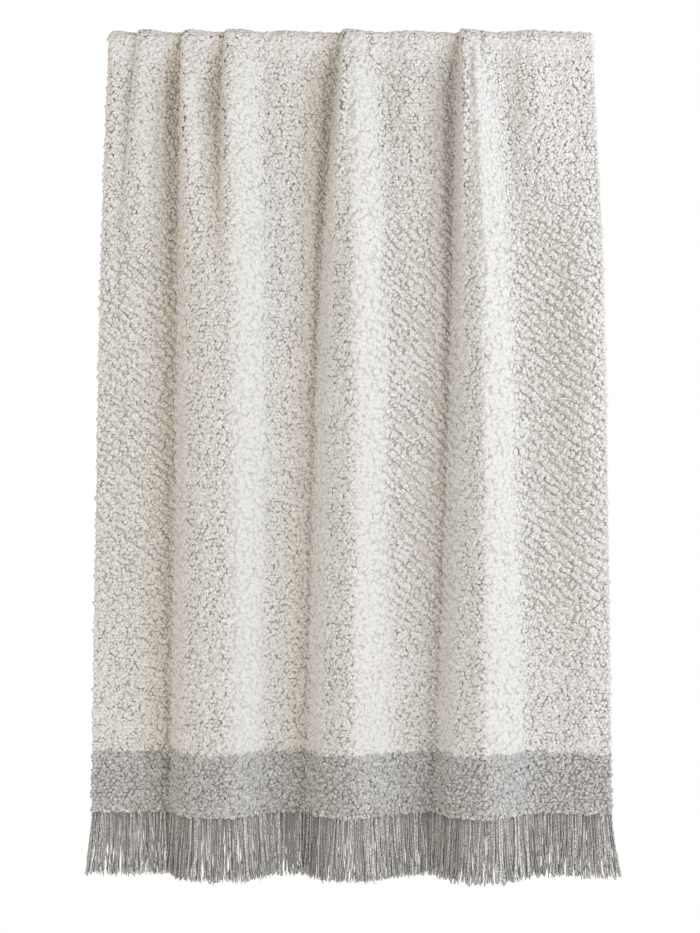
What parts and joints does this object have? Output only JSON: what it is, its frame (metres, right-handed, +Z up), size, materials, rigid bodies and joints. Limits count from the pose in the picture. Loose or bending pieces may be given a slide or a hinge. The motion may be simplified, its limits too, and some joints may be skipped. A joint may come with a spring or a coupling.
{
  "type": "boucle throw",
  "caption": "Hanging boucle throw in deep uneven folds, folded over at its top edge, with a grey band and a cut fringe at both ends.",
  "frame": {"origin": "centre line of the rail that the throw hangs over, at the middle of its width", "axes": "+Z up, -Y out of the front drop, +X to the right seen from the front"},
  "size_m": [1.0599, 0.1765, 1.7098],
  "materials": {
    "boucle_cloth": "looped boucle, matte",
    "fringe_yarn": "plied yarn, matte"
  },
  "bodies": {
    "root": {"throw_cloth": "boucle_cloth", "fringe_front": "fringe_yarn", "fringe_back": "fringe_yarn"}
  },
  "joints": []
}
